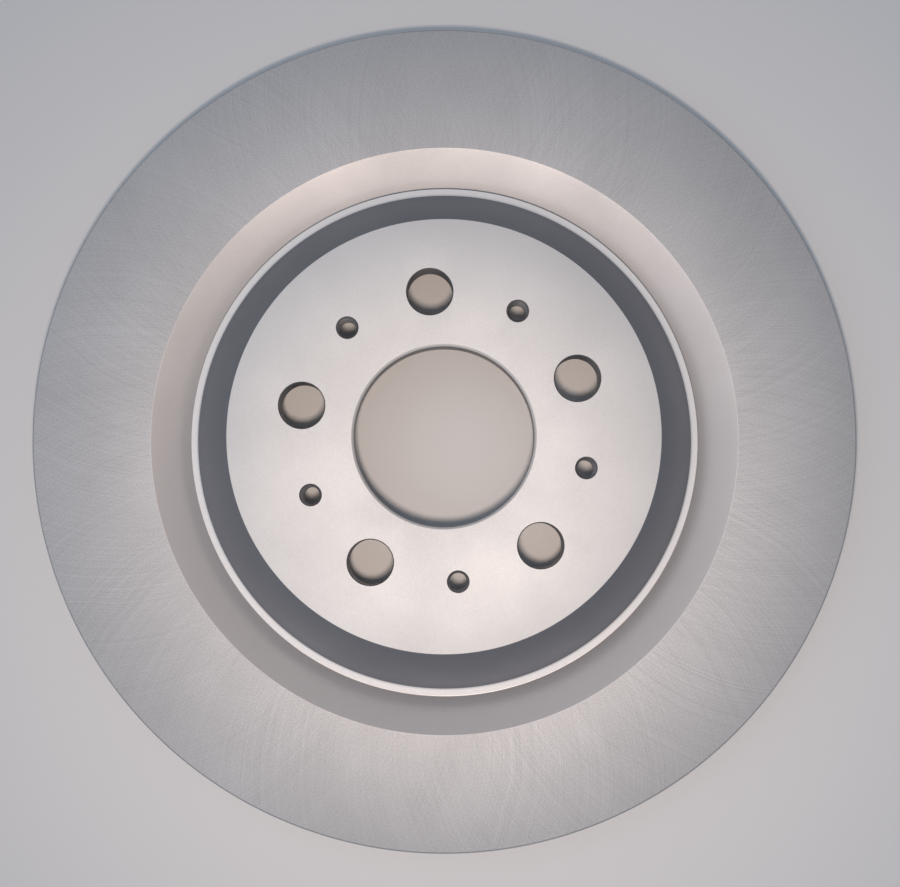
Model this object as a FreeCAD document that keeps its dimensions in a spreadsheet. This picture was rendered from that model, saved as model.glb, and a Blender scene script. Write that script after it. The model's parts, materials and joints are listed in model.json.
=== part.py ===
"""Ventilated brake disc of one grey-iron casting, machined and silver coated.

The disc lies with its inboard friction face on the XY plane and its axis on Z, so the
raised hat points up. The first wheel stud hole is on +Y. All sizes are in millimetres.
"""

import FreeCAD, Part

import os

import Sketcher

# Driving dimensions: alias, value, what it is
SIZES = (
    ("disc_diameter", 345.0, "outside diameter of both friction rings"),
    ("ring_thickness", 28.0, "over the two friction faces"),
    ("overall_height", 49.0, "inboard friction face to wheel face of the hat"),
    ("inboard_plate", 8.5, "thickness of the inboard friction plate"),
    ("outboard_plate", 8.5, "thickness of the outboard friction plate"),
    ("inboard_face_bore", 240.0, "inner diameter of the inboard friction face"),
    ("outboard_face_bore", 245.5, "inner diameter of the outboard friction face"),
    ("rim_chamfer", 0.8, "chamfer on the outer edge of each friction face"),
    ("inlet_chamfer", 1.5, "chamfer on the inner edge of the inboard plate"),
    ("groove_depth", 10.5, "outboard friction face down to the floor of the relief groove"),
    ("groove_outer_diameter", 216.6, "where the sloping band meets the groove floor"),
    ("shoulder_diameter", 213.0, "outer edge of the shoulder, which is the groove's inner wall"),
    ("shoulder_depth", 2.5, "outboard friction face down to the shoulder"),
    ("shoulder_width", 2.9, "flat top of the shoulder, measured along a radius"),
    ("shoulder_fillet", 1.5, "between the shoulder and the hat flank"),
    ("hat_face_diameter", 171.8, "flat wheel face of the hat"),
    ("hat_wall", 8.0, "thickness of the sloping hat wall"),
    ("hub_plate", 8.0, "thickness of the plate that is clamped to the hub"),
    ("hub_corner_chamfer", 3.0, "cast corner inside the hat, along the hub face"),
    ("neck_thickness", 8.0, "iron below the groove floor"),
    ("neck_flat_width", 6.0, "flat underside of the neck, along a radius"),
    ("neck_slope_width", 10.0, "slope from the neck up to the air gap, along a radius"),
    ("bore_diameter", 71.5, "centre bore on the hub spigot"),
    ("bore_chamfer", 0.9, "chamfer at both ends of the bore"),
    ("pitch_circle", 115.0, "pitch circle of the stud and tapped holes"),
    ("stud_count", 5, "wheel stud holes, with as many tapped holes between them"),
    ("stud_hole_diameter", 18.0, "clearance hole for a wheel stud and its collar"),
    ("stud_hole_chamfer", 0.4, "edge break of a stud hole at the wheel face"),
    ("tapped_hole_diameter", 6.8, "core diameter of the M8 tapped hole"),
    ("tapped_hole_chamfer", 1.1, "chamfer of a tapped hole at the wheel face"),
    ("vane_count", 36, "straight radial vanes between the plates"),
    ("vane_thickness", 5.0, "thickness of one vane"),
    ("vane_tip_thickness", 2.4, "flat nose at each end of a vane"),
    ("vane_tip_length", 2.0, "taper from the full thickness to the nose"),
    ("vane_rim_setback", 3.0, "rim back to the outer tip of a vane"),
    ("vane_inlet_setback", 3.0, "inner edge of the inboard plate to the inner tip of a vane"),
)

# Sections of the casting, as expressions over the sheet
DISC_RADIUS = "sizes.disc_diameter / 2"
INLET_RADIUS = "sizes.inboard_face_bore / 2"
FACE_INNER_RADIUS = "sizes.outboard_face_bore / 2"
BORE_RADIUS = "sizes.bore_diameter / 2"
PITCH_RADIUS = "sizes.pitch_circle / 2"
HAT_RADIUS = "sizes.hat_face_diameter / 2"
GROOVE_OUTER_RADIUS = "sizes.groove_outer_diameter / 2"
SHOULDER_RADIUS = "sizes.shoulder_diameter / 2"
FLANK_FOOT_RADIUS = f"({SHOULDER_RADIUS} - sizes.shoulder_width)"

SHOULDER = "(sizes.ring_thickness - sizes.shoulder_depth)"
GROOVE_FLOOR = "(sizes.ring_thickness - sizes.groove_depth)"
NECK_UNDERSIDE = f"({GROOVE_FLOOR} - sizes.neck_thickness)"
GAP_TOP = "(sizes.ring_thickness - sizes.outboard_plate)"
HUB_FACE = "(sizes.overall_height - sizes.hub_plate)"

# The inner flank of the hat is parallel to the outer one, a wall's thickness inside it
FLANK_RUN = f"({FLANK_FOOT_RADIUS} - {HAT_RADIUS})"
FLANK_RISE = f"(sizes.overall_height - {SHOULDER})"
FLANK_SLOPE = f"({FLANK_RUN} / {FLANK_RISE})"
WALL_ACROSS = f"(sizes.hat_wall * sqrt(1 + {FLANK_SLOPE}^2))"
INNER_TOP_RADIUS = f"({HAT_RADIUS} - {WALL_ACROSS} + {FLANK_SLOPE} * sizes.hub_plate)"
INNER_FOOT_RADIUS = (
    f"({HAT_RADIUS} - {WALL_ACROSS} + {FLANK_SLOPE} * (sizes.overall_height - {NECK_UNDERSIDE}))"
)
CORNER_FOOT = f"({HUB_FACE} - sizes.hub_corner_chamfer)"
CORNER_FOOT_RADIUS = f"({INNER_TOP_RADIUS} + {FLANK_SLOPE} * sizes.hub_corner_chamfer)"
NECK_FLAT_RADIUS = f"({INNER_FOOT_RADIUS} + sizes.neck_flat_width)"
NECK_SLOPE_RADIUS = f"({NECK_FLAT_RADIUS} + sizes.neck_slope_width)"

EDGE_TOLERANCE = 1e-4


def make_sheet(doc):
    """The spreadsheet of driving dimensions, one alias to a row."""
    sheet = doc.addObject("Spreadsheet::Sheet", "sizes")
    for row, (alias, value, note) in enumerate(SIZES, start=1):
        sheet.set(f"A{row}", alias)
        sheet.set(f"B{row}", str(value))
        sheet.set(f"C{row}", note)
        sheet.setAlias(f"B{row}", alias)
    doc.recompute()
    return sheet


def origin_feature(body, role):
    """The origin plane or axis of the body with the given role."""
    return next(item for item in body.Origin.OriginFeatures if item.Role == role)


def new_sketch(body, name, plane_role):
    """An empty sketch on one of the body's origin planes."""
    sketch = body.newObject("Sketcher::SketchObject", name)
    sketch.AttachmentSupport = [(origin_feature(body, plane_role), "")]
    sketch.MapMode = "FlatFace"
    return sketch


def hold_at(sketch, geometry, point, axis, expression):
    """Hold one coordinate of a point, on the axis itself where the expression is 0."""
    if expression == "0":
        other_axis = -2 if axis == "DistanceX" else -1
        sketch.addConstraint(Sketcher.Constraint("PointOnObject", geometry, point, other_axis))
        return
    value = float(sketch.evalExpression(expression))
    index = sketch.addConstraint(Sketcher.Constraint(axis, -1, 1, geometry, point, value))
    sketch.setExpression(f"Constraints[{index}]", expression)


def draw_outline(sketch, corners):
    """A closed outline of straight lines, each corner held by two expressions."""
    points = [
        FreeCAD.Vector(float(sketch.evalExpression(x)), float(sketch.evalExpression(y)), 0)
        for x, y in corners
    ]
    for start, end in zip(points, points[1:] + points[:1]):
        sketch.addGeometry(Part.LineSegment(start, end), False)
    for line, (x, y) in enumerate(corners):
        previous = line - 1 if line else len(corners) - 1
        sketch.addConstraint(Sketcher.Constraint("Coincident", previous, 2, line, 1))
        hold_at(sketch, line, 1, "DistanceX", x)
        hold_at(sketch, line, 1, "DistanceY", y)


def revolve(body, name, corners):
    """A ring turned about the axis of the disc from an outline in the XZ plane."""
    sketch = new_sketch(body, f"{name}_section", "XZ_Plane")
    draw_outline(sketch, corners)
    ring = body.newObject("PartDesign::Revolution", name)
    ring.Profile = sketch
    ring.ReferenceAxis = (sketch, ["V_Axis"])
    ring.Angle = 360
    body.Document.recompute()
    return ring


def polar_pattern(body, name, feature, count_alias):
    """Copies of a feature, evenly spaced about the axis of the disc."""
    pattern = body.newObject("PartDesign::PolarPattern", name)
    pattern.Originals = [feature]
    pattern.Axis = (origin_feature(body, "Z_Axis"), [""])
    pattern.Angle = 360
    pattern.setExpression("Occurrences", f"sizes.{count_alias}")
    body.Tip = pattern
    body.Document.recompute()
    return pattern


def add_inboard_plate(body):
    """The friction plate on the side of the hub, whose lower face is on the XY plane."""
    revolve(body, "inboard_plate", [
        (f"{INLET_RADIUS} + sizes.inlet_chamfer", "0"),
        (f"{DISC_RADIUS} - sizes.rim_chamfer", "0"),
        (DISC_RADIUS, "sizes.rim_chamfer"),
        (DISC_RADIUS, "sizes.inboard_plate"),
        (INLET_RADIUS, "sizes.inboard_plate"),
        (INLET_RADIUS, "sizes.inlet_chamfer"),
    ])


def add_vanes(body):
    """The radial vanes that stand on the inboard plate and carry the outboard one."""
    inner = f"({INLET_RADIUS} + sizes.vane_inlet_setback)"
    outer = f"({DISC_RADIUS} - sizes.vane_rim_setback)"
    sketch = new_sketch(body, "vane_plan", "XY_Plane")
    sketch.setExpression("AttachmentOffset.Base.z", "sizes.inboard_plate")
    draw_outline(sketch, [
        (inner, "-sizes.vane_tip_thickness / 2"),
        (f"{inner} + sizes.vane_tip_length", "-sizes.vane_thickness / 2"),
        (f"{outer} - sizes.vane_tip_length", "-sizes.vane_thickness / 2"),
        (outer, "-sizes.vane_tip_thickness / 2"),
        (outer, "sizes.vane_tip_thickness / 2"),
        (f"{outer} - sizes.vane_tip_length", "sizes.vane_thickness / 2"),
        (f"{inner} + sizes.vane_tip_length", "sizes.vane_thickness / 2"),
        (inner, "sizes.vane_tip_thickness / 2"),
    ])
    vane = body.newObject("PartDesign::Pad", "vane")
    vane.Profile = sketch
    vane.setExpression("Length", f"{GAP_TOP} - sizes.inboard_plate")
    body.Document.recompute()
    polar_pattern(body, "vanes", vane, "vane_count")


def add_outboard_plate_and_hat(body):
    """The outboard friction plate, the relief groove and shoulder, and the hat itself."""
    revolve(body, "outboard_plate_and_hat", [
        (DISC_RADIUS, GAP_TOP),
        (DISC_RADIUS, "sizes.ring_thickness - sizes.rim_chamfer"),
        (f"{DISC_RADIUS} - sizes.rim_chamfer", "sizes.ring_thickness"),
        (FACE_INNER_RADIUS, "sizes.ring_thickness"),
        (GROOVE_OUTER_RADIUS, GROOVE_FLOOR),
        (SHOULDER_RADIUS, GROOVE_FLOOR),
        (SHOULDER_RADIUS, SHOULDER),
        (FLANK_FOOT_RADIUS, SHOULDER),
        (HAT_RADIUS, "sizes.overall_height"),
        (f"{BORE_RADIUS} + sizes.bore_chamfer", "sizes.overall_height"),
        (BORE_RADIUS, "sizes.overall_height - sizes.bore_chamfer"),
        (BORE_RADIUS, f"{HUB_FACE} + sizes.bore_chamfer"),
        (f"{BORE_RADIUS} + sizes.bore_chamfer", HUB_FACE),
        (f"{INNER_TOP_RADIUS} - sizes.hub_corner_chamfer", HUB_FACE),
        (CORNER_FOOT_RADIUS, CORNER_FOOT),
        (INNER_FOOT_RADIUS, NECK_UNDERSIDE),
        (NECK_FLAT_RADIUS, NECK_UNDERSIDE),
        (NECK_SLOPE_RADIUS, GAP_TOP),
    ])


def cut_holes(body, name, angle_from_y, radius, chamfer):
    """Through holes of the hub plate on the pitch circle, chamfered at the wheel face.

    The section lies in a plane through the axis of the first hole, so the sketch is
    moved out to the pitch circle and turned with it about the axis of the disc.
    """
    sketch = new_sketch(body, f"{name}_section", "YZ_Plane")
    sketch.AttachmentOffset = FreeCAD.Placement(
        FreeCAD.Vector(), FreeCAD.Rotation(FreeCAD.Vector(0, 1, 0), 1))
    sketch.setExpression("AttachmentOffset.Base.x", f"{PITCH_RADIUS} * cos({angle_from_y})")
    sketch.setExpression("AttachmentOffset.Base.z", f"-{PITCH_RADIUS} * sin({angle_from_y})")
    sketch.setExpression("AttachmentOffset.Rotation.Angle", f"{angle_from_y}")
    draw_outline(sketch, [
        ("0", HUB_FACE),
        (radius, HUB_FACE),
        (radius, f"sizes.overall_height - {chamfer}"),
        (f"{radius} + {chamfer}", "sizes.overall_height"),
        ("0", "sizes.overall_height"),
    ])
    hole = body.newObject("PartDesign::Groove", name)
    hole.Profile = sketch
    hole.ReferenceAxis = (sketch, ["V_Axis"])
    hole.Angle = 360
    body.Document.recompute()
    polar_pattern(body, f"{name}s", hole, "stud_count")


def circle_edges(shape, radius, height):
    """Names of the full circles about the disc's axis with this radius and height."""
    names = []
    for number, edge in enumerate(shape.Edges, start=1):
        if not isinstance(edge.Curve, Part.Circle):
            continue
        centre = edge.Curve.Center
        on_axis = abs(centre.x) < EDGE_TOLERANCE and abs(centre.y) < EDGE_TOLERANCE
        same_height = abs(centre.z - height) < EDGE_TOLERANCE
        if on_axis and same_height and abs(edge.Curve.Radius - radius) < EDGE_TOLERANCE:
            names.append(f"Edge{number}")
    return names


def round_corner(body, name, radius_at, height_at, size_alias):
    """A fillet along the circle where two turned faces meet."""
    sheet = body.Document.getObject("sizes")
    radius = float(sheet.evalExpression(radius_at))
    height = float(sheet.evalExpression(height_at))
    base = body.Tip
    edges = circle_edges(base.Shape, radius, height)
    if not edges:
        raise RuntimeError(f"{name}: no edge at radius {radius:.3f}, height {height:.3f}")
    fillet = body.newObject("PartDesign::Fillet", name)
    fillet.Base = (base, edges)
    fillet.setExpression("Radius", f"sizes.{size_alias}")
    body.Document.recompute()


def check_features(doc, body):
    """Stop if an object failed, or if a feature left the solid as it was or the wrong way."""
    for item in doc.Objects:
        if "Invalid" in item.State or "Error" in item.State:
            raise RuntimeError(f"{item.Name} failed: {item.State}")
    cuts = ("stud_hole", "stud_holes", "tapped_hole", "tapped_holes")
    volume = 0.0
    for item in body.Group:
        if not item.isDerivedFrom("PartDesign::Feature"):
            continue
        grown = item.Shape.Volume - volume
        if item.Name in cuts and grown >= 0:
            raise RuntimeError(f"{item.Name} cut nothing")
        if grown == 0:
            raise RuntimeError(f"{item.Name} changed nothing")
        volume = item.Shape.Volume
        print(f"{item.Name}: {volume / 1000:.2f} cm3")
    shape = body.Shape
    if shape.isNull() or not shape.isValid() or len(shape.Solids) != 1:
        raise RuntimeError(f"{body.Label} isn't one valid solid")


def build():
    """Build the disc, check it and write its STEP file."""
    doc = FreeCAD.newDocument("brake_disc_document")
    make_sheet(doc)
    body = doc.addObject("PartDesign::Body", "disc_body")
    body.Label = "brake_disc"
    add_inboard_plate(body)
    add_vanes(body)
    add_outboard_plate_and_hat(body)
    cut_holes(body, "stud_hole", "0 deg",
              "sizes.stud_hole_diameter / 2", "sizes.stud_hole_chamfer")
    cut_holes(body, "tapped_hole", "180 deg / sizes.stud_count",
              "sizes.tapped_hole_diameter / 2", "sizes.tapped_hole_chamfer")
    round_corner(body, "shoulder_fillet", FLANK_FOOT_RADIUS, SHOULDER, "shoulder_fillet")
    check_features(doc, body)
    os.makedirs("parts", exist_ok=True)
    body.Shape.exportStep(f"parts/{body.Label}.step")
    box = body.Shape.BoundBox
    print(f"{body.Label}: {box.XLength:.2f} x {box.YLength:.2f} x {box.ZLength:.2f} mm")


build()
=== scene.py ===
"""Studio scene of a ventilated brake disc that lies on its inboard friction face.

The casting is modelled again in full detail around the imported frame: turned sections with
their true fillets, vanes with rounded tips and cast roots, chamfered stud holes and threaded
tapped holes. Everything is in metres, with the disc's axis on Z and the hat on top.
"""

import json
import logging
import math
from collections.abc import Callable
from dataclasses import dataclass, field
from enum import Enum

import bmesh
import bpy
from mathutils import Matrix, Vector


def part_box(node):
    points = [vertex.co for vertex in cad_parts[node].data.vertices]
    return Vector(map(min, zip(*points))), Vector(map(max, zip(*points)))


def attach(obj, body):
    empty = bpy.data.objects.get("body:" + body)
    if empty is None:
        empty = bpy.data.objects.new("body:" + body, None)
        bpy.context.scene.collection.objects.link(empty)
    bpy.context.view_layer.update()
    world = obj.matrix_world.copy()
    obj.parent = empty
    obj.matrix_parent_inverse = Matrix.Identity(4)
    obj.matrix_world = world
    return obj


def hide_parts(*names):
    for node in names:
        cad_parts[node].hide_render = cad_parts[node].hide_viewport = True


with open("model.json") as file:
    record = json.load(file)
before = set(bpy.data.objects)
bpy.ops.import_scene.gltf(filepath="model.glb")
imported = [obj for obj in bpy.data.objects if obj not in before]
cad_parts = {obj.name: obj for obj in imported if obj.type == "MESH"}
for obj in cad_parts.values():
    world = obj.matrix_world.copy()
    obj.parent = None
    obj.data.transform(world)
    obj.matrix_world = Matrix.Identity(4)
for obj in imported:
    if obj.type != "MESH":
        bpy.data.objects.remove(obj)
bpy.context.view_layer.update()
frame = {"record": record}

LOG = logging.getLogger("brake_disc")

NODE = "brake_disc"
BODY = "root"
MM = 0.001

MERGE_DISTANCE = 1e-6
SAME_PLACE = 1e-7
SAME_LEVEL = 1e-8


class Zone(Enum):
    """The finishes of the casting, in the order of its material slots."""

    FRICTION_FACE = 0
    HAT_FACE = 1
    TURNED = 2
    # The drilled walls' dark tone is painted shade.
    DRILLED = 3
    AS_CAST = 4
    # The band's tone, below the friction face's, is partly painted shade.
    BAND = 5
    # The shoulder's light tone is a painted highlight, also used on the bore's upper chamfer.
    SHOULDER = 6
    # The flank's dark, cool tone is painted shade.
    FLANK = 7


@dataclass(frozen=True)
class DiscSizes:
    """Real sizes of the disc in metres, read from the frame or named here."""

    radius: float
    height: float
    bore_radius: float
    pitch_radius: float
    stud_radius: float
    stud_count: int
    tap_core_radius: float
    tap_major_radius: float = 4.0 * MM
    tap_pitch: float = 1.25 * MM
    tap_chamfer: float = 1.1 * MM
    stud_chamfer: float = 0.4 * MM
    ring_thickness: float = 28.0 * MM
    plate: float = 8.5 * MM
    inboard_inner_radius: float = 120.0 * MM
    outboard_inner_radius: float = 122.75 * MM
    groove_depth: float = 10.5 * MM
    groove_outer_radius: float = 108.3 * MM
    shoulder_depth: float = 2.5 * MM
    shoulder_radius: float = 106.5 * MM
    flank_foot_radius: float = 103.6 * MM
    hat_radius: float = 85.9 * MM
    hat_wall: float = 8.0 * MM
    hub_plate: float = 8.0 * MM
    neck_thickness: float = 8.0 * MM
    neck_flat: float = 6.0 * MM
    neck_slope: float = 10.0 * MM
    rim_chamfer: float = 0.8 * MM
    inlet_chamfer: float = 1.5 * MM
    bore_chamfer: float = 0.9 * MM
    vane_count: int = 36
    vane_thickness: float = 5.0 * MM
    vane_setback: float = 3.0 * MM

    @classmethod
    def from_frame(cls) -> "DiscSizes":
        """Read the outer box and the mounts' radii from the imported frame.

        Returns:
            The sizes, with the radii of the mounts as they were packed.
        """
        low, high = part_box(NODE)
        mounts = {mount["name"]: mount["dims"] for mount in frame["record"]["mounts"]}
        return cls(
            radius=(high.x - low.x) / 2,
            height=high.z - low.z,
            bore_radius=mounts["hub_bore"]["r_mm"] * MM,
            pitch_radius=mounts["wheel_studs"]["pcd_mm"] * MM / 2,
            stud_radius=mounts["wheel_studs"]["hole_r_mm"] * MM,
            stud_count=mounts["wheel_studs"]["count"],
            tap_core_radius=mounts["tapped_holes"]["hole_r_mm"] * MM,
        )

    @property
    def hub_face(self) -> float:
        """Height of the face that seats on the hub."""
        return self.height - self.hub_plate

    @property
    def gap_top(self) -> float:
        """Height of the underside of the outboard plate."""
        return self.ring_thickness - self.plate

    @property
    def groove_floor(self) -> float:
        """Height of the groove's floor."""
        return self.ring_thickness - self.groove_depth

    @property
    def shoulder(self) -> float:
        """Height of the flat shoulder between the groove and the hat's flank."""
        return self.ring_thickness - self.shoulder_depth

    @property
    def flank_slope(self) -> float:
        """Run of the hat's flank outwards for each metre that it drops."""
        return (self.flank_foot_radius - self.hat_radius) / (self.height - self.shoulder)

    def inner_flank(self, height: float) -> float:
        """Radius of the hat's inner flank.

        Args:
            height: Height above the inboard friction face.

        Returns:
            The radius there, a wall's thickness inside the outer flank.
        """
        across = self.hat_wall * math.hypot(1.0, self.flank_slope)
        return self.hat_radius - across + self.flank_slope * (self.height - height)


class Bench:
    """Modelling steps by operators, each with only the wanted geometry selected."""

    @staticmethod
    def clear() -> None:
        """Leave edit mode and deselect every object."""
        if bpy.context.object and bpy.context.object.mode != "OBJECT":
            bpy.ops.object.mode_set(mode="OBJECT")
        bpy.ops.object.select_all(action="DESELECT")

    @staticmethod
    def activate(piece: bpy.types.Object) -> None:
        """Make one object the only selected one, and active.

        Args:
            piece: The object.
        """
        Bench.clear()
        piece.select_set(True)
        bpy.context.view_layer.objects.active = piece

    @staticmethod
    def adopt(name: str) -> bpy.types.Object:
        """Name the primitive just added and put its place into its mesh.

        Args:
            name: Name of the object and of its mesh.

        Returns:
            The object, at the origin.
        """
        piece = bpy.context.object
        piece.name = name
        piece.data.name = name
        bpy.ops.object.transform_apply(location=True, rotation=True, scale=True)
        return piece

    @staticmethod
    def edit(piece: bpy.types.Object) -> None:
        """Open an object in edit mode with all of it selected.

        Args:
            piece: The object.
        """
        Bench.activate(piece)
        bpy.ops.object.mode_set(mode="EDIT")
        bpy.ops.mesh.select_mode(type="VERT")
        bpy.ops.mesh.select_all(action="SELECT")

    @staticmethod
    def pick(piece: bpy.types.Object, test: Callable[[Vector], bool]) -> None:
        """Select only the vertices whose place passes a test.

        Args:
            piece: The object in edit mode.
            test: A function of a vertex's place.
        """
        bpy.ops.mesh.select_all(action="DESELECT")
        mesh = bmesh.from_edit_mesh(piece.data)
        for vertex in mesh.verts:
            if test(vertex.co):
                vertex.select = True
        mesh.select_flush(True)
        bmesh.update_edit_mesh(piece.data)

    @staticmethod
    def tidy_shell() -> None:
        """Merge doubles, turn the faces of the open mesh outwards and leave edit mode."""
        bpy.ops.mesh.select_all(action="SELECT")
        bpy.ops.mesh.remove_doubles(threshold=MERGE_DISTANCE)
        bpy.ops.mesh.normals_make_consistent(inside=False)
        bpy.ops.object.mode_set(mode="OBJECT")

    @staticmethod
    def join(pieces: list[bpy.types.Object], name: str) -> bpy.types.Object:
        """Join several objects into the first.

        Args:
            pieces: The objects.
            name: Name of the result.

        Returns:
            The joined object.
        """
        Bench.activate(pieces[0])
        for piece in pieces[1:]:
            piece.select_set(True)
        bpy.ops.object.join()
        pieces[0].name = name
        pieces[0].data.name = name
        return pieces[0]

    @staticmethod
    def around(piece: bpy.types.Object, count: int) -> list[bpy.types.Object]:
        """Copies of an object evenly spaced about Z, each with its own mesh.

        Args:
            piece: The first of them.
            count: How many there are in all.

        Returns:
            The piece and its copies.
        """
        ring = [piece]
        for number in range(1, count):
            copy = piece.copy()
            copy.data = piece.data.copy()
            copy.data.transform(Matrix.Rotation(math.tau * number / count, 4, "Z"))
            bpy.context.scene.collection.objects.link(copy)
            ring.append(copy)
        return ring

    @staticmethod
    def combine(piece: bpy.types.Object, tool: bpy.types.Object, operation: str) -> None:
        """Apply an exact boolean and remove the tool.

        Args:
            piece: The object that is changed.
            tool: The object that is added or cut away.
            operation: UNION or DIFFERENCE.
        """
        Bench.activate(piece)
        boolean = piece.modifiers.new("boolean", "BOOLEAN")
        boolean.operation = operation
        boolean.solver = "EXACT"
        boolean.object = tool
        bpy.ops.object.modifier_apply(modifier=boolean.name)
        bpy.data.objects.remove(tool)


@dataclass(frozen=True)
class Corner:
    """A corner of a turned section, with the radius of its fillet."""

    radius: float
    height: float
    fillet: float = 0.0
    segments: int = 2

    @property
    def place(self) -> Vector:
        """The corner in the XZ plane."""
        return Vector((self.radius, 0.0, self.height))


@dataclass
class TurnedPiece:
    """A solid of revolution, drawn as a section and spun about Z."""

    name: str
    corners: list[Corner]
    steps: int = 360
    closed: bool = True

    def draw_section(self) -> bpy.types.Object:
        """Draw the section by extruding one vertex from corner to corner.

        Returns:
            The section, with its fillets, open in edit mode.
        """
        Bench.clear()
        places = [corner.place for corner in self.corners]
        bpy.ops.mesh.primitive_plane_add(size=MM, location=places[0])
        piece = Bench.adopt(self.name)
        Bench.edit(piece)
        bpy.ops.mesh.merge(type="CENTER")
        for start, end in zip(places, places[1:]):
            bpy.ops.mesh.extrude_vertices_move(TRANSFORM_OT_translate={"value": end - start})
        if self.closed:
            ends = (places[0], places[-1])
            Bench.pick(piece, lambda place: min((place - end).length for end in ends) < SAME_PLACE)
            bpy.ops.mesh.edge_face_add()
        self.round_corners(piece)
        return piece

    def round_corners(self, piece: bpy.types.Object) -> None:
        """Give each corner its fillet by a bevel of its vertex.

        Args:
            piece: The section, in edit mode.
        """
        count = len(self.corners)
        for number, corner in enumerate(self.corners):
            if not corner.fillet:
                continue
            before = self.corners[number - 1].place - corner.place
            after = self.corners[(number + 1) % count].place - corner.place
            setback = corner.fillet / math.tan(before.angle(after) / 2)
            Bench.pick(piece, lambda place: (place - corner.place).length < SAME_PLACE)
            bpy.ops.mesh.bevel(
                offset=setback, offset_type="OFFSET", segments=corner.segments,
                profile=0.5, affect="VERTICES")

    def turn(self) -> bpy.types.Object:
        """Spin the section about Z.

        Returns:
            The turned solid.
        """
        piece = self.draw_section()
        bpy.ops.mesh.select_all(action="SELECT")
        bpy.ops.mesh.spin(
            steps=self.steps, angle=math.tau, center=(0, 0, 0), axis=(0, 0, 1), use_auto_merge=True)
        Bench.tidy_shell()
        return piece


@dataclass
class FrictionRings:
    """The two friction plates, the groove and the hat, as two turned rings."""

    sizes: DiscSizes
    edge_break: float = 0.25 * MM
    shoulder_edge: float = 0.12 * MM
    groove_fillet: float = 0.8 * MM
    flank_fillet: float = 1.5 * MM
    hub_corner_fillet: float = 4.0 * MM
    neck_fillet: float = 2.5 * MM

    def inboard_plate(self) -> bpy.types.Object:
        """The plate on the side of the hub.

        Returns:
            The turned plate.
        """
        s = self.sizes
        return TurnedPiece("inboard_plate", [
            Corner(s.inboard_inner_radius + s.inlet_chamfer, 0.0, self.edge_break),
            Corner(s.radius - s.rim_chamfer, 0.0, self.edge_break),
            Corner(s.radius, s.rim_chamfer, self.edge_break),
            Corner(s.radius, s.plate, self.edge_break),
            Corner(s.inboard_inner_radius, s.plate, 2 * self.edge_break, 3),
            Corner(s.inboard_inner_radius, s.inlet_chamfer, self.edge_break),
        ]).turn()

    def outboard_plate_and_hat(self) -> bpy.types.Object:
        """The plate on the side of the wheel, with the groove, hat and hub plate.

        Returns:
            The turned ring.
        """
        s = self.sizes
        neck = s.groove_floor - s.neck_thickness
        neck_flat_radius = s.inner_flank(neck) + s.neck_flat
        return TurnedPiece("outboard_plate_and_hat", [
            Corner(s.radius, s.gap_top, self.edge_break),
            Corner(s.radius, s.ring_thickness - s.rim_chamfer, self.edge_break),
            Corner(s.radius - s.rim_chamfer, s.ring_thickness, self.edge_break),
            Corner(s.outboard_inner_radius, s.ring_thickness, self.edge_break),
            Corner(s.groove_outer_radius, s.groove_floor, self.groove_fillet, 4),
            Corner(s.shoulder_radius, s.groove_floor, self.groove_fillet, 4),
            Corner(s.shoulder_radius, s.shoulder, self.shoulder_edge),
            Corner(s.flank_foot_radius, s.shoulder, self.flank_fillet, 5),
            Corner(s.hat_radius, s.height, self.edge_break),
            Corner(s.bore_radius + s.bore_chamfer, s.height, self.edge_break / 2),
            Corner(s.bore_radius, s.height - s.bore_chamfer, self.edge_break / 2),
            Corner(s.bore_radius, s.hub_face + s.bore_chamfer, self.edge_break / 2),
            Corner(s.bore_radius + s.bore_chamfer, s.hub_face, self.edge_break / 2),
            Corner(s.inner_flank(s.hub_face), s.hub_face, self.hub_corner_fillet, 8),
            Corner(s.inner_flank(neck), neck, self.neck_fillet, 6),
            Corner(neck_flat_radius, neck, self.neck_fillet, 5),
            Corner(neck_flat_radius + s.neck_slope, s.gap_top, self.neck_fillet, 5),
        ]).turn()


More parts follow.
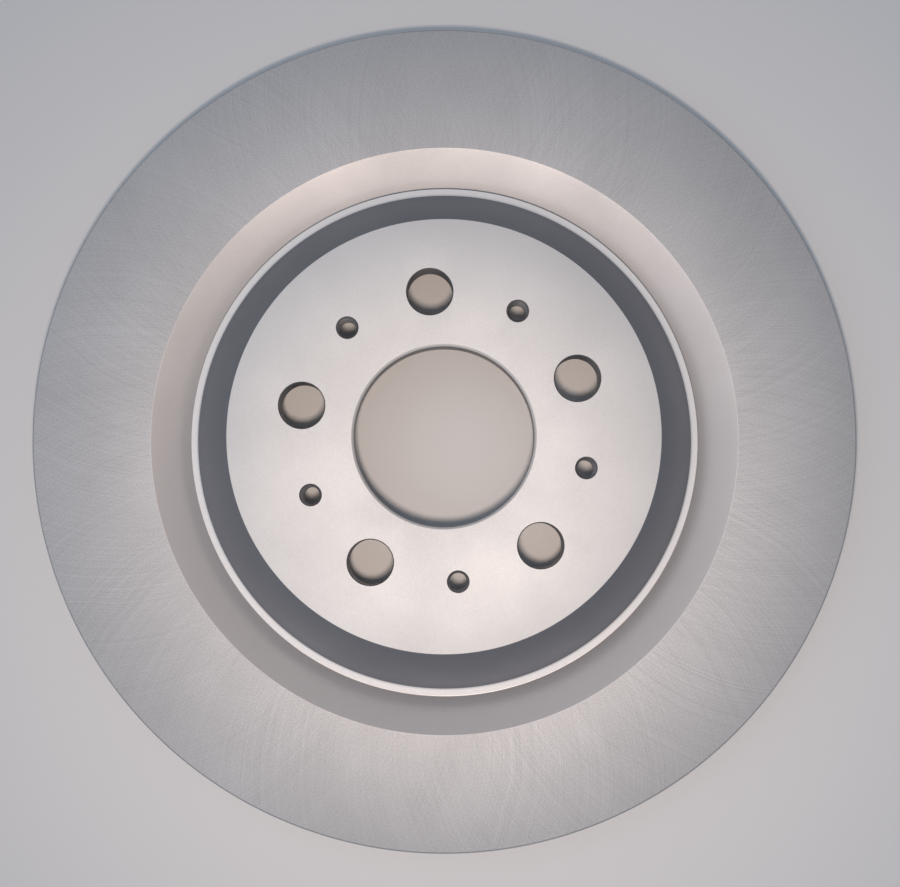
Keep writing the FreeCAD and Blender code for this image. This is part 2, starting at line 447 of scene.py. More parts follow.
@dataclass
class Vanes:
    """Straight radial vanes with half-round tips, flared where they join the plates."""

    sizes: DiscSizes
    root_fillet: float = 1.8 * MM
    overlap: float = 0.3 * MM
    tip_points: int = 24
    flare_steps: int = 4

    def levels(self) -> list[tuple[float, float]]:
        """Heights of the vane's outlines and how far each stands proud.

        Returns:
            Pairs of height and outward offset, from the lower plate to the upper.
        """
        s = self.sizes
        flare = []
        for step in range(self.flare_steps + 1):
            angle = math.pi / 2 * step / self.flare_steps
            rise = self.root_fillet * (1 - math.cos(angle))
            offset = self.root_fillet * (1 - math.sin(angle))
            flare.append((rise, offset))
        lower = [(s.plate - self.overlap, self.root_fillet)]
        lower += [(s.plate + rise, offset) for rise, offset in flare]
        upper = [(s.gap_top - rise, offset) for rise, offset in reversed(flare)]
        upper.append((s.gap_top + self.overlap, self.root_fillet))
        return lower + upper

    def model_one(self) -> bpy.types.Object:
        """Model the vane on +X from one half-round outline, level by level.

        Returns:
            The closed vane.
        """
        s = self.sizes
        half = s.vane_thickness / 2
        inner = s.inboard_inner_radius + s.vane_setback + half
        outer = s.radius - s.vane_setback - half
        levels = self.levels()
        turn = math.pi / self.tip_points
        Bench.clear()
        bpy.ops.mesh.primitive_circle_add(
            vertices=self.tip_points, radius=half, fill_type="NGON",
            location=(inner, 0, levels[0][0]), rotation=(0, 0, turn))
        vane = Bench.adopt("vane")
        Bench.edit(vane)
        Bench.pick(vane, lambda place: place.x > inner)
        bpy.ops.transform.translate(value=(outer - inner, 0, 0))
        middle = (inner + outer) / 2
        self.swell(vane, levels[0], half, half, (inner, outer), middle)
        for (low, before), (high, after) in zip(levels, levels[1:]):
            Bench.pick(vane, lambda place: abs(place.z - low) < SAME_LEVEL)
            bpy.ops.mesh.extrude_region_move(TRANSFORM_OT_translate={"value": (0, 0, high - low)})
            self.swell(vane, (high, after), half + before, half, (inner, outer), middle)
        Bench.tidy_shell()
        return vane

    @staticmethod
    def swell(
        vane: bpy.types.Object,
        level: tuple[float, float],
        drawn: float,
        half: float,
        centres: tuple[float, float],
        middle: float,
    ) -> None:
        """Offset one outline of the vane, by scaling each tip about its own centre.

        Args:
            vane: The vane, in edit mode.
            level: Height of the outline and its wanted offset.
            drawn: Tip radius that the outline has now.
            half: Half the vane's thickness.
            centres: Distance of the two tips' centres from the axis.
            middle: Where one tip's half of the outline ends.
        """
        height, offset = level
        factor = (half + offset) / drawn
        for centre in centres:
            outer_tip = centre > middle
            Bench.pick(vane, lambda place: abs(place.z - height) < SAME_LEVEL
                       and (place.x > middle) == outer_tip)
            bpy.ops.transform.resize(
                value=(factor, factor, 1), center_override=(centre, 0, height))

    def model(self) -> bpy.types.Object:
        """Model one vane and copy it round the disc.

        Returns:
            All the vanes as one object.
        """
        ring = Bench.around(self.model_one(), self.sizes.vane_count)
        return Bench.join(ring, "vanes")


@dataclass
class HoleTools:
    """Solid tools that cut the stud holes and the threaded holes."""

    sizes: DiscSizes
    reach: float = 1.5 * MM
    stud_points: int = 96
    thread_points: int = 40
    crest_share: float = 0.22
    root_share: float = 0.12
    waist_share: float = 0.6
    spare_turns: int = 2

    @property
    def spacing(self) -> float:
        """Angle from one stud hole to the next."""
        return math.tau / self.sizes.stud_count

    def to_ring(self, tool: bpy.types.Object, angle: float, name: str) -> bpy.types.Object:
        """Move a tool from the axis to the pitch circle and copy it round.

        Args:
            tool: The tool, modelled on the disc's axis.
            angle: Angle of the first hole from +Y.
            name: Name of the result.

        Returns:
            The tools of all the holes as one object.
        """
        move = Matrix.Rotation(angle, 4, "Z") @ Matrix.Translation((0, self.sizes.pitch_radius, 0))
        tool.data.transform(move)
        return Bench.join(Bench.around(tool, self.sizes.stud_count), name)

    def stud_plug(self) -> bpy.types.Object:
        """A plug of the stud hole, flared at both faces for the edge breaks.

        Returns:
            The plug, on the disc's axis.
        """
        s = self.sizes
        c = s.stud_chamfer
        out = self.reach
        r = s.stud_radius
        return TurnedPiece("stud_plug", [
            Corner(0.0, s.hub_face - out),
            Corner(r + c + out, s.hub_face - out),
            Corner(r, s.hub_face + c),
            Corner(r, s.height - c),
            Corner(r + c + out, s.height + out),
            Corner(0.0, s.height + out),
        ], steps=self.stud_points, closed=False).turn()

    def countersink(self) -> bpy.types.Object:
        """A double cone that chamfers both mouths of a tapped hole.

        Returns:
            The tool, on the disc's axis.
        """
        s = self.sizes
        c = s.tap_chamfer
        r = s.tap_core_radius
        out = self.reach
        waist = self.waist_share * r
        return TurnedPiece("countersink", [
            Corner(0.0, s.hub_face - out),
            Corner(r + c + out, s.hub_face - out),
            Corner(waist, s.hub_face + c + r - waist),
            Corner(waist, s.height - c - r + waist),
            Corner(r + c + out, s.height + out),
            Corner(0.0, s.height + out),
        ], steps=self.stud_points, closed=False).turn()

    def thread_plug(self) -> bpy.types.Object:
        """A plug with an external thread, screwed up from one pitch of its profile.

        Returns:
            The plug, on the disc's axis.
        """
        s = self.sizes
        pitch = s.tap_pitch
        core, major = s.tap_core_radius, s.tap_major_radius
        crest = self.crest_share * pitch
        root = self.root_share * pitch
        flank = (pitch - crest - root) / 2
        start = s.hub_face - self.spare_turns * pitch
        turns = math.ceil(s.hub_plate / pitch) + 2 * self.spare_turns
        piece = TurnedPiece("thread_plug", [
            Corner(core, start),
            Corner(core, start + crest),
            Corner(major, start + crest + flank),
            Corner(major, start + crest + flank + root),
            Corner(core, start + pitch),
        ], closed=False).draw_section()
        bpy.ops.object.mode_set(mode="OBJECT")
        screw = piece.modifiers.new("screw", "SCREW")
        screw.steps = self.thread_points
        screw.render_steps = self.thread_points
        screw.screw_offset = pitch
        screw.iterations = turns
        screw.use_merge_vertices = True
        screw.merge_threshold = SAME_PLACE
        bpy.ops.object.modifier_apply(modifier=screw.name)
        Bench.edit(piece)
        bpy.ops.mesh.remove_doubles(threshold=MERGE_DISTANCE)
        for height, up in ((s.hub_face - pitch / 2, 1), (s.height + pitch / 2, -1)):
            bpy.ops.mesh.select_all(action="SELECT")
            bpy.ops.mesh.bisect(
                plane_co=(0, 0, height), plane_no=(0, 0, up), use_fill=True,
                clear_inner=True, threshold=SAME_LEVEL)
        Bench.tidy_shell()
        return piece

    def cut(self, casting: bpy.types.Object) -> None:
        """Cut all the holes of the hub plate.

        Args:
            casting: The casting that they are cut into.
        """
        studs = self.to_ring(self.stud_plug(), 0.0, "stud_plugs")
        Bench.combine(casting, studs, "DIFFERENCE")
        threads = self.to_ring(self.thread_plug(), self.spacing / 2, "thread_plugs")
        Bench.combine(casting, threads, "DIFFERENCE")
        sinks = self.to_ring(self.countersink(), self.spacing / 2, "countersinks")
        Bench.combine(casting, sinks, "DIFFERENCE")


class ShaderTools:
    """Short ways to lay out nodes in a tree."""

    def __init__(self, tree: bpy.types.NodeTree) -> None:
        """Work on one node tree."""
        self.tree = tree

    def node(self, kind: str, **settings: object) -> bpy.types.Node:
        """Add a node and set its properties.

        Args:
            kind: The node's type name.
            **settings: Properties of the node.

        Returns:
            The node.
        """
        made = self.tree.nodes.new(kind)
        for name, value in settings.items():
            setattr(made, name, value)
        return made

    def link(self, source: bpy.types.NodeSocket, target: bpy.types.NodeSocket) -> None:
        """Join two sockets."""
        self.tree.links.new(source, target)

    def feed(self, node: bpy.types.Node, values: tuple[object, ...]) -> None:
        """Give a node's inputs their values, in order.

        Args:
            node: The node.
            values: Numbers, or sockets to read.
        """
        for socket, value in zip(node.inputs, values):
            if isinstance(value, bpy.types.NodeSocket):
                self.link(value, socket)
            else:
                socket.default_value = value

    def math(self, operation: str, *inputs: object) -> bpy.types.NodeSocket:
        """A math node.

        Args:
            operation: What it works out.
            *inputs: Numbers, or sockets to read.

        Returns:
            Its result.
        """
        made = self.node("ShaderNodeMath", operation=operation)
        self.feed(made, inputs)
        return made.outputs[0]

    def noise(
        self,
        vector: bpy.types.NodeSocket,
        scale: float = 1.0,
        detail: float = 2.0,
        roughness: float = 0.5,
    ) -> bpy.types.NodeSocket:
        """A noise texture.

        Args:
            vector: Where it is read.
            scale: Waves for each unit of the vector.
            detail: Octaves.
            roughness: Strength of the finer octaves.

        Returns:
            Its value.
        """
        made = self.node("ShaderNodeTexNoise")
        made.inputs["Scale"].default_value = scale
        made.inputs["Detail"].default_value = detail
        made.inputs["Roughness"].default_value = roughness
        self.link(vector, made.inputs["Vector"])
        return made.outputs["Fac"]

    def remap(
        self,
        value: bpy.types.NodeSocket,
        low: float,
        high: float,
        to_low: float = 0.0,
        to_high: float = 1.0,
    ) -> bpy.types.NodeSocket:
        """Map one range to another, held at its ends.

        Args:
            value: The value to map.
            low: Start of its range.
            high: End of its range.
            to_low: Result at the start.
            to_high: Result at the end.

        Returns:
            The mapped value.
        """
        made = self.node("ShaderNodeMapRange", clamp=True)
        self.link(value, made.inputs["Value"])
        ends = {"From Min": low, "From Max": high, "To Min": to_low, "To Max": to_high}
        for name, number in ends.items():
            made.inputs[name].default_value = number
        return made.outputs["Result"]

    def polar(self, vector: bpy.types.NodeSocket) -> tuple[bpy.types.NodeSocket, ...]:
        """Split a place into distance from Z, angle about it and height.

        Args:
            vector: The place.

        Returns:
            Radius, angle and height.
        """
        parts = self.node("ShaderNodeSeparateXYZ")
        self.link(vector, parts.inputs[0])
        x, y, z = parts.outputs
        square = self.math("ADD", self.math("MULTIPLY", x, x), self.math("MULTIPLY", y, y))
        return self.math("SQRT", square), self.math("ARCTAN2", y, x), z

    def combine(self, *parts: object) -> bpy.types.NodeSocket:
        """A vector from its three parts.

        Args:
            *parts: Numbers, or sockets to read.

        Returns:
            The vector.
        """
        made = self.node("ShaderNodeCombineXYZ")
        self.feed(made, parts)
        return made.outputs[0]


class EffectGroup:
    """A shader node group that reads a place and puts out a height and a mask."""

    def __init__(self, name: str, inputs: dict[str, float]) -> None:
        """Make the group and its sockets.

        Args:
            name: Name of the group.
            inputs: Names and default values of its number inputs.
        """
        self.tree = bpy.data.node_groups.new(name, "ShaderNodeTree")
        face = self.tree.interface
        face.new_socket(name="Vector", in_out="INPUT", socket_type="NodeSocketVector")
        for label, value in inputs.items():
            socket = face.new_socket(name=label, in_out="INPUT", socket_type="NodeSocketFloat")
            socket.default_value = value
        for label in ("Height", "Mask"):
            face.new_socket(name=label, in_out="OUTPUT", socket_type="NodeSocketFloat")
        self.tools = ShaderTools(self.tree)
        self.source = self.tools.node("NodeGroupInput")
        self.result = self.tools.node("NodeGroupOutput")

    def read(self, label: str) -> bpy.types.NodeSocket:
        """An input of the group."""
        return self.source.outputs[label]

    def scaled_place(self, label: str) -> bpy.types.NodeSocket:
        """The place that the group reads, multiplied by one of its inputs.

        Args:
            label: Name of that input.

        Returns:
            The scaled place.
        """
        scaled = self.tools.node("ShaderNodeVectorMath", operation="SCALE")
        self.tools.link(self.read("Vector"), scaled.inputs[0])
        self.tools.link(self.read(label), scaled.inputs["Scale"])
        return scaled.outputs[0]

    def put(self, height: bpy.types.NodeSocket, mask: bpy.types.NodeSocket) -> None:
        """Send out the group's two results."""
        self.tools.link(height, self.result.inputs["Height"])
        self.tools.link(mask, self.result.inputs["Mask"])


class Effects:
    """The surface effects that the finishes share."""

    def __init__(self) -> None:
        """Build each group once."""
        self.grain = self.build_grain()
        self.turning = self.build_turning()
        self.ground_arcs = self.build_ground_arcs()
        self.cast_skin = self.build_cast_skin()
        self.handling = self.build_handling()

    @staticmethod
    def build_grain() -> bpy.types.NodeTree:
        """The fine grain of a sprayed, baked coat.

        Returns:
            The node group.
        """
        group = EffectGroup("coat_grain", {"Grain Per Metre": 1500.0})
        tools = group.tools
        place = group.scaled_place("Grain Per Metre")
        fine = tools.noise(place, detail=3.0, roughness=0.65)
        coarse = tools.noise(place, scale=0.23)
        coarse_share = 0.6
        height = tools.math("ADD", fine, tools.math("MULTIPLY", coarse, coarse_share))
        group.put(height, tools.remap(fine, low=0.3, high=0.7))
        return group.tree

    @staticmethod
    def build_turning() -> bpy.types.NodeTree:
        """Concentric marks of a lathe tool.

        Returns:
            The node group.
        """
        group = EffectGroup("turning_marks", {"Marks Per Metre": 2200.0})
        tools = group.tools
        radius, angle, height = tools.polar(group.read("Vector"))
        along = tools.math("ADD", radius, height)
        rings = tools.math("MULTIPLY", along, group.read("Marks Per Metre"))
        drift, broadening, broad_seed = 0.35, 0.06, 3.0
        slow = tools.math("MULTIPLY", tools.math("COSINE", angle), drift)
        marks = tools.noise(tools.combine(rings, slow, 0.0), roughness=0.6)
        wide = tools.math("MULTIPLY", rings, broadening)
        broad = tools.noise(tools.combine(wide, slow, broad_seed))
        group.put(marks, tools.math("MULTIPLY", tools.math("ADD", marks, broad), 0.5))
        return group.tree

    @staticmethod
    def build_ground_arcs() -> bpy.types.NodeTree:
        """Two crossing families of arcs, as a cup wheel leaves them on a friction face.

        Returns:
            The node group.
        """
        group = EffectGroup("ground_arcs", {
            "Wheel Radius": 0.11, "Wheel Offset": 0.15, "Arcs": 360.0, "Wander": 0.04,
        })
        tools = group.tools
        place = group.read("Vector")
        radius, angle, _ = tools.polar(place)
        offset, wheel = group.read("Wheel Offset"), group.read("Wheel Radius")
        squares = tools.math("ADD", tools.math("MULTIPLY", radius, radius),
                             tools.math("MULTIPLY", offset, offset))
        squares = tools.math("SUBTRACT", squares, tools.math("MULTIPLY", wheel, wheel))
        double = tools.math("MULTIPLY", tools.math("MULTIPLY", radius, offset), 2.0)
        lean = tools.math("ARCCOSINE", tools.math("DIVIDE", squares, double))
        wander = tools.math("MULTIPLY", tools.noise(place, scale=30.0), group.read("Wander"))
        families = []
        for sign, seed in ((1.0, 0.0), (-1.0, 40.0)):
            start = tools.math("ADD", angle, tools.math("MULTIPLY", lean, sign))
            start = tools.math("ADD", start, wander)
            across = tools.math("MULTIPLY", tools.math("COSINE", start), group.read("Arcs"))
            up = tools.math("MULTIPLY", tools.math("SINE", start), group.read("Arcs"))
            lines = tools.combine(across, up, seed)
            families.append(tools.noise(lines, detail=3.0, roughness=0.7))
        crossed = tools.math("MULTIPLY", tools.math("ADD", *families), 0.5)
        clouds = tools.noise(place, scale=14.0)
        patches = tools.remap(clouds, low=0.40, high=0.62, to_low=0.35)
        weave = tools.remap(crossed, low=0.36, high=0.64, to_low=-1.0)
        both = tools.math("MINIMUM", *families)
        deep = tools.remap(both, low=0.24, high=0.34, to_low=0.8, to_high=0.0)
        marks = tools.math("MULTIPLY", tools.math("ADD", weave, deep), patches)
        group.put(tools.math("MULTIPLY", crossed, patches), tools.math("ADD", marks, 0.5))
        return group.tree

    @staticmethod
    def build_cast_skin() -> bpy.types.NodeTree:
        """The pebbled skin that a sand mould leaves.

        Returns:
            The node group.
        """
        group = EffectGroup("cast_skin", {"Pebbles Per Metre": 700.0})
        tools = group.tools
        place = group.scaled_place("Pebbles Per Metre")
        pebbles = tools.noise(place, detail=4.0, roughness=0.6)
        swells = tools.noise(place, scale=0.12)
        height = tools.math("ADD", pebbles, tools.math("MULTIPLY", swells, 2.0))
        group.put(height, tools.remap(pebbles, low=0.35, high=0.65))
        return group.tree

    @staticmethod
    def build_handling() -> bpy.types.NodeTree:
        """Soft clouds where the coat is a little thicker or has been handled.

        Returns:
            The node group.
        """
        group = EffectGroup("handling", {"Clouds Per Metre": 22.0})
        tools = group.tools
        place = group.scaled_place("Clouds Per Metre")
        clouds = tools.noise(place, detail=4.0, roughness=0.55)
        group.put(clouds, tools.remap(clouds, low=0.35, high=0.65))
        return group.tree


@dataclass(frozen=True)
class Layer:
    """One effect on a coat: its name in Effects, its depth, its share in the colour, its values."""

    effect: str
    depth: float
    weight: float
    values: dict[str, float] = field(default_factory=dict)


@dataclass(frozen=True)
class CoatFinish:
    """The silver-grey coat over one kind of surface.

    tone is the mean colour, and contrast the share that the layers' masks lighten or darken it. In
    some finishes the tone also holds painted shade or a painted highlight.
    """

    name: str
    tone: tuple[float, float, float]
    roughness: float
    contrast: float
    layers: tuple[Layer, ...]
    metallic: float = 0.9
    roughness_swing: float = 0.06

    def build(self, effects: Effects) -> bpy.types.Material:
        """Make the material.

        Args:
            effects: The shared node groups.

        Returns:
            The material, with its colour, roughness and relief from the nodes.
        """
        material = bpy.data.materials.new(self.name)
        material.use_nodes = True
        tree = material.node_tree
        tools = ShaderTools(tree)
        shader = tree.nodes["Principled BSDF"]
        shader.inputs["Metallic"].default_value = self.metallic
        place = tools.node("ShaderNodeTexCoord").outputs["Object"]
        height = None
        shade = None
        for layer in self.layers:
            group = tools.node("ShaderNodeGroup", node_tree=getattr(effects, layer.effect))
            tools.link(place, group.inputs["Vector"])
            for label, value in layer.values.items():
                group.inputs[label].default_value = value
            relief = tools.math("MULTIPLY", group.outputs["Height"], layer.depth)
            height = relief if height is None else tools.math("ADD", height, relief)
            mark = tools.math("MULTIPLY", group.outputs["Mask"], layer.weight)
            shade = mark if shade is None else tools.math("ADD", shade, mark)
        self.colour(tools, shader, shade)
        self.relief(tools, shader, height)
        return material

    def colour(
        self, tools: ShaderTools, shader: bpy.types.Node, shade: bpy.types.NodeSocket
    ) -> None:
        """Lay the coat's tone and gloss over the summed masks.

        Args:
            tools: The node tools of the material.
            shader: Its shader.
            shade: The summed masks.
        """
        ramp = tools.node("ShaderNodeValToRGB")
        dark = [channel * (1 - self.contrast) for channel in self.tone]
        light = [min(channel * (1 + self.contrast), 1.0) for channel in self.tone]
        ramp.color_ramp.elements[0].color = (*dark, 1)
        ramp.color_ramp.elements[1].color = (*light, 1)
        tools.link(shade, ramp.inputs["Fac"])
        tools.link(ramp.outputs["Color"], shader.inputs["Base Color"])
        swing = self.roughness_swing
        gloss = tools.remap(shade, 0.0, 1.0, self.roughness + swing, self.roughness - swing)
        tools.link(gloss, shader.inputs["Roughness"])

    @staticmethod
    def relief(tools: ShaderTools, shader: bpy.types.Node, height: bpy.types.NodeSocket) -> None:
        """Turn the summed heights into the shading normal.

        Args:
            tools: The node tools of the material.
            shader: Its shader.
            height: The summed heights, in metres.
        """
        bump = tools.node("ShaderNodeBump")
        bump.inputs["Strength"].default_value = 1.0
        bump.inputs["Distance"].default_value = 1.0
        tools.link(height, bump.inputs["Height"])
        tools.link(bump.outputs["Normal"], shader.inputs["Normal"])


FINISHES = {
    Zone.FRICTION_FACE: CoatFinish(
        name="coated_ground_face", tone=(0.60, 0.60, 0.605),
        roughness=0.73, contrast=0.16,
        layers=(
            Layer("grain", depth=0.012 * MM, weight=0.48, values={"Grain Per Metre": 1500.0}),
            Layer("ground_arcs", depth=0.014 * MM, weight=0.34),
            Layer("handling", depth=0.0, weight=0.16),
        ),
    ),
    Zone.HAT_FACE: CoatFinish(
        name="coated_hat_face", tone=(0.72, 0.72, 0.72),
        roughness=0.73, contrast=0.05,
        layers=(
            Layer("grain", depth=0.008 * MM, weight=0.6, values={"Grain Per Metre": 2300.0}),
            Layer("turning", depth=0.001 * MM, weight=0.1),
            Layer("handling", depth=0.0, weight=0.3),
        ),
    ),
    Zone.TURNED: CoatFinish(
        name="coated_turned_surface", tone=(0.56, 0.565, 0.57),
        roughness=0.62, contrast=0.10,
        layers=(
            Layer("grain", depth=0.008 * MM, weight=0.4, values={"Grain Per Metre": 1900.0}),
            Layer("turning", depth=0.004 * MM, weight=0.3),
            Layer("handling", depth=0.0, weight=0.3),
        ),
    ),
    # The dark tone of the stud and tapped holes' walls and chamfers and of the bore wall is painted
    # shade.
    Zone.DRILLED: CoatFinish(
        name="coated_drilled_wall_painted_shade", tone=(0.24, 0.24, 0.245),
        roughness=0.50, contrast=0.12,
        layers=(
            Layer("grain", depth=0.006 * MM, weight=0.5, values={"Grain Per Metre": 2600.0}),
            Layer("handling", depth=0.0, weight=0.5, values={"Clouds Per Metre": 120.0}),
        ),
    ),
    Zone.AS_CAST: CoatFinish(
        name="coated_cast_skin", tone=(0.42, 0.42, 0.425),
        roughness=0.65, contrast=0.16,
        layers=(
            Layer("cast_skin", depth=0.10 * MM, weight=0.45),
            Layer("grain", depth=0.010 * MM, weight=0.25, values={"Grain Per Metre": 2200.0}),
            Layer("handling", depth=0.0, weight=0.3, values={"Clouds Per Metre": 30.0}),
        ),
    ),
    # The groove side's tone, darker than the friction face's, is partly painted shade.
    Zone.BAND: CoatFinish(
        name="coated_groove_side_partly_painted_shade", tone=(0.47, 0.47, 0.48),
        roughness=0.50, contrast=0.08,
        layers=(
            Layer("grain", depth=0.006 * MM, weight=0.4, values={"Grain Per Metre": 1900.0}),
            Layer("turning", depth=0.003 * MM, weight=0.3),
            Layer("handling", depth=0.0, weight=0.3),
        ),
    ),
    # The light tone of the shoulder and the bore's upper chamfer is a painted highlight.
    Zone.SHOULDER: CoatFinish(
        name="coated_shoulder_painted_highlight", tone=(0.80, 0.80, 0.80),
        roughness=0.72, contrast=0.06,
        layers=(
            Layer("grain", depth=0.006 * MM, weight=0.5, values={"Grain Per Metre": 2100.0}),
            Layer("turning", depth=0.002 * MM, weight=0.3),
        ),
    ),
    # The hat flank's dark, slightly blue tone is painted shade with a painted cool reflection.
    Zone.FLANK: CoatFinish(
        name="coated_hat_flank_painted_shade", tone=(0.29, 0.30, 0.325),
        roughness=0.58, contrast=0.08,
        layers=(
            Layer("grain", depth=0.006 * MM, weight=0.4, values={"Grain Per Metre": 1900.0}),
            Layer("turning", depth=0.003 * MM, weight=0.3),
            Layer("handling", depth=0.0, weight=0.3),
        ),
    ),
}


@dataclass
class DiscCasting:
    """The whole casting: turned rings, vanes, holes and finishes in one closed mesh."""

    sizes: DiscSizes
    smooth_angle: float = math.radians(20)
    flat_normal: float = 0.999
    level_tolerance: float = 0.05 * MM
    leaning_normal: float = 0.1
    reach: float = MM

    def model(self) -> bpy.types.Object:
        """Model the casting as one closed mesh.

        Returns:
            The casting.
        """
        rings = FrictionRings(self.sizes)
        casting = Bench.join(
            [rings.outboard_plate_and_hat(), rings.inboard_plate()], "disc_casting")
        LOG.info("rings turned: %d faces", len(casting.data.polygons))
        Bench.combine(casting, Vanes(self.sizes).model(), "UNION")
        LOG.info("vanes joined: %d faces", len(casting.data.polygons))
        HoleTools(self.sizes).cut(casting)
        LOG.info("holes cut: %d faces", len(casting.data.polygons))
        Bench.activate(casting)
        bpy.ops.object.shade_smooth_by_angle(angle=self.smooth_angle)
        return casting

    def zone_at(self, place: Vector, normal: Vector) -> Zone:
        """The finish of a face.

        Args:
            place: The face's centre.
            normal: The face's normal.

        Returns:
            Its zone.
        """
        s = self.sizes
        radius = math.hypot(place.x, place.y)
        flat = abs(normal.z) > self.flat_normal
        if flat and self.near(place.z, s.height):
            return Zone.HAT_FACE
        on_outboard = self.near(place.z, s.ring_thickness) and radius > s.outboard_inner_radius
        if flat and (on_outboard or self.near(place.z, 0.0)):
            return Zone.FRICTION_FACE
        pitch_reach = s.stud_radius + s.stud_chamfer + self.level_tolerance
        on_pitch_circle = abs(radius - s.pitch_radius) < pitch_reach
        # Walls and chamfers of the holes on the pitch circle take the drilled finish, whose dark
        # tone is painted shade.
        if place.z > s.hub_face + self.level_tolerance and on_pitch_circle:
            return Zone.DRILLED
        if normal.z > self.leaning_normal and s.hat_radius < radius < s.outboard_inner_radius:
            return self.groove_zone(radius, place.z)
        inside_gap = s.plate - self.level_tolerance < place.z < s.gap_top + self.level_tolerance
        in_gap = inside_gap and radius > s.inboard_inner_radius - self.reach
        bore_edge = s.bore_radius + s.bore_chamfer
        under_hat = bore_edge < radius < s.inner_flank(place.z) + self.reach / 2
        beside_neck = s.hat_radius - s.hat_wall < radius < s.inboard_inner_radius + self.reach
        neck = normal.z < -self.leaning_normal and beside_neck
        if flat and self.near(place.z, s.hub_face):
            return Zone.TURNED
        # The bore wall also takes that painted shade.
        if place.z > s.hub_face and self.near(radius, s.bore_radius):
            return Zone.DRILLED
        # The bore's upper chamfer takes the shoulder's light tone, a painted highlight.
        if place.z > s.height - s.bore_chamfer and radius < bore_edge + self.reach:
            return Zone.SHOULDER
        if in_gap or neck or (under_hat and place.z < s.hub_face):
            return Zone.AS_CAST
        return Zone.TURNED

    def groove_zone(self, radius: float, height: float) -> Zone:
        """The finish of a face between the hat's edge and the friction face.

        Args:
            radius: Distance of the face from the axis.
            height: Its height.

        Returns:
            The zone of the flank, the shoulder or the band beside the groove.
        """
        s = self.sizes
        # The flank takes the painted-shade finish, the shoulder the painted highlight and the band
        # the partly painted shade.
        if radius < s.flank_foot_radius + self.level_tolerance:
            return Zone.FLANK
        on_shoulder = radius < s.shoulder_radius + self.level_tolerance
        if on_shoulder and height > s.shoulder - 2 * self.reach:
            return Zone.SHOULDER
        return Zone.BAND

    def near(self, value: float, level: float) -> bool:
        """Whether a height is at a level."""
        return abs(value - level) < self.level_tolerance

    def dress(self, casting: bpy.types.Object, effects: Effects) -> None:
        """Give every face the finish of its zone.

        Args:
            casting: The casting.
            effects: The shared node groups.
        """
        casting.data.materials.clear()
        for zone in Zone:
            casting.data.materials.append(FINISHES[zone].build(effects))
        counts = dict.fromkeys(Zone, 0)
        for face in casting.data.polygons:
            zone = self.zone_at(face.center, face.normal)
            face.material_index = zone.value
            counts[zone] += 1
        LOG.info("faces by zone: %s", {zone.name: count for zone, count in counts.items()})

    def build(self, effects: Effects) -> bpy.types.Object:
        """Model and dress the casting and put it in place of the frame's node.

        Args:
            effects: The shared node groups.

        Returns:
            The finished casting.
        """
        casting = self.model()
        self.dress(casting, effects)
        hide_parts(NODE)
        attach(casting, BODY)
        return casting


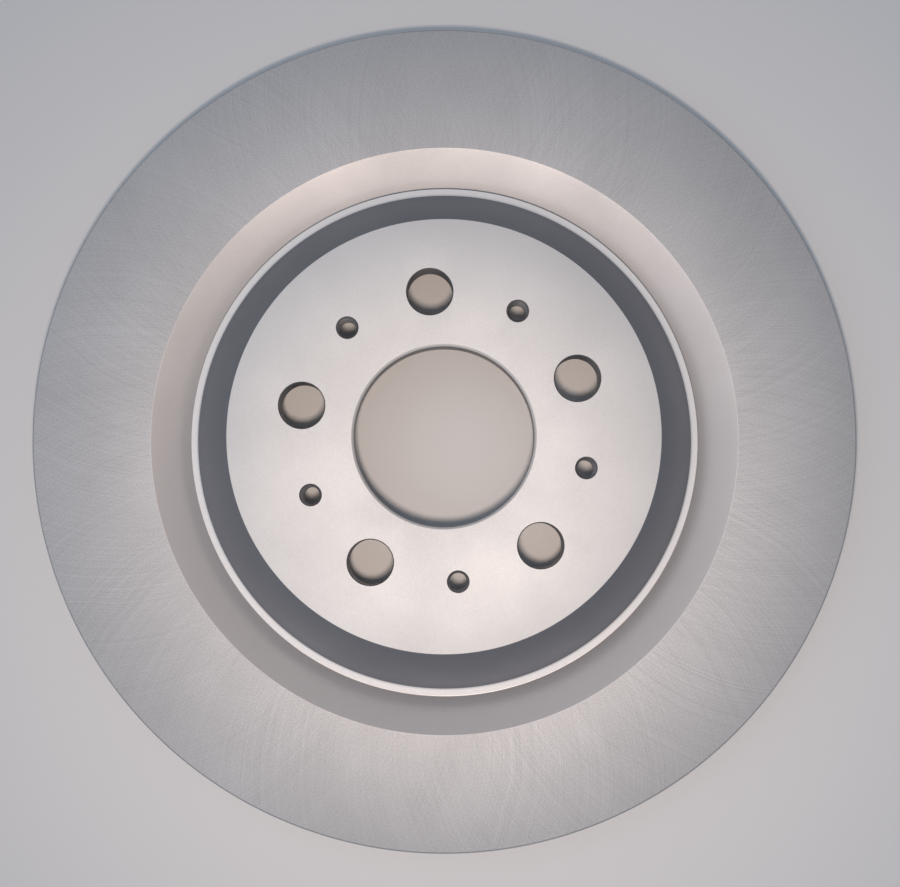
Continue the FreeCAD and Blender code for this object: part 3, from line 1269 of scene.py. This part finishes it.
@dataclass
class Studio:
    """Floor, lamp, world and camera."""

    camera_height: float = 404.0 * MM
    camera_right: float = 3.5 * MM
    camera_down: float = 35.5 * MM
    turn: float = math.radians(-5.6)
    lens: float = 36.0
    sensor: float = 36.0
    near_clip: float = 10 * MM
    shift: tuple[float, float] = (-0.0032, 0.0924)
    lamp_down: float = 62.0 * MM
    lamp_right: float = 0.0
    lamp_size: float = 26.0 * MM
    lamp_power: float = 0.94
    lamp_color: tuple[float, float, float] = (1.0, 0.82, 0.705)
    sky_base: float = 0.20
    sky_zenith: float = 0.775
    sky_focus: float = 4.0
    sky_lean: tuple[float, float] = (-0.3, 0.0)
    sky_color: tuple[float, float, float] = (0.75, 0.855, 1.0)
    floor_tone: tuple[float, float, float] = (0.72, 0.72, 0.72)
    floor_roughness: float = 0.8
    floor_size: float = 8.0

    def in_picture(self, right: float, up: float, height: float) -> Vector:
        """A place given along the picture's own sides.

        Args:
            right: Distance from the disc's axis to the picture's right.
            up: Distance to the picture's top.
            height: Height above the floor.

        Returns:
            The place in the disc's frame.
        """
        return Matrix.Rotation(self.turn, 3, "Z") @ Vector((right, up, height))

    def place_camera(self) -> None:
        """Look straight down on the disc from a little off its axis."""
        data = bpy.data.cameras.new("camera")
        data.lens = self.lens
        data.sensor_width = self.sensor
        data.shift_x, data.shift_y = self.shift
        data.clip_start = self.near_clip
        camera = bpy.data.objects.new("camera", data)
        camera.location = self.in_picture(self.camera_right, -self.camera_down, self.camera_height)
        camera.rotation_euler = (0, 0, self.turn)
        bpy.context.scene.collection.objects.link(camera)
        bpy.context.scene.camera = camera

    def hang_lamp(self) -> None:
        """A small soft lamp beside the lens."""
        data = bpy.data.lights.new("lamp", "AREA")
        data.shape = "DISK"
        data.size = self.lamp_size
        data.energy = self.lamp_power
        data.color = self.lamp_color
        lamp = bpy.data.objects.new("lamp", data)
        lamp.location = self.in_picture(self.lamp_right, -self.lamp_down, self.camera_height)
        bpy.context.scene.collection.objects.link(lamp)

    def light_world(self) -> None:
        """A surround a little cooler than the lamp, brightest overhead like a soft box."""
        world = bpy.data.worlds.new("surround")
        bpy.context.scene.world = world
        world.use_nodes = True
        tools = ShaderTools(world.node_tree)
        background = world.node_tree.nodes["Background"]
        toward = tools.node("ShaderNodeVectorMath", operation="DOT_PRODUCT")
        tools.link(tools.node("ShaderNodeTexCoord").outputs["Generated"], toward.inputs[0])
        toward.inputs[1].default_value = self.in_picture(*self.sky_lean, 1.0).normalized()
        upward = tools.math("MAXIMUM", toward.outputs["Value"], 0.0)
        dome = tools.math("MULTIPLY", tools.math("POWER", upward, self.sky_focus), self.sky_zenith)
        tools.link(tools.math("ADD", dome, self.sky_base), background.inputs["Strength"])
        background.inputs["Color"].default_value = (*self.sky_color, 1)

    def lay_floor(self) -> None:
        """A plain pale floor under the disc."""
        Bench.clear()
        bpy.ops.mesh.primitive_plane_add(size=self.floor_size)
        floor = Bench.adopt("floor")
        material = bpy.data.materials.new("pale_floor")
        material.use_nodes = True
        shader = material.node_tree.nodes["Principled BSDF"]
        shader.inputs["Base Color"].default_value = (*self.floor_tone, 1)
        shader.inputs["Roughness"].default_value = self.floor_roughness
        floor.data.materials.append(material)

    def build(self) -> None:
        """Set up the whole studio."""
        self.place_camera()
        self.lay_floor()
        self.hang_lamp()
        self.light_world()
        bpy.context.scene.view_settings.view_transform = "Standard"


def main() -> None:
    """Build the studio and the disc."""
    logging.basicConfig(level=logging.INFO, format="%(message)s")
    sizes = DiscSizes.from_frame()
    Studio().build()
    LOG.info("studio ready")
    casting = DiscCasting(sizes).build(Effects())
    LOG.info("%s: %d faces", casting.name, len(casting.data.polygons))


if __name__ == "__main__":
    main()
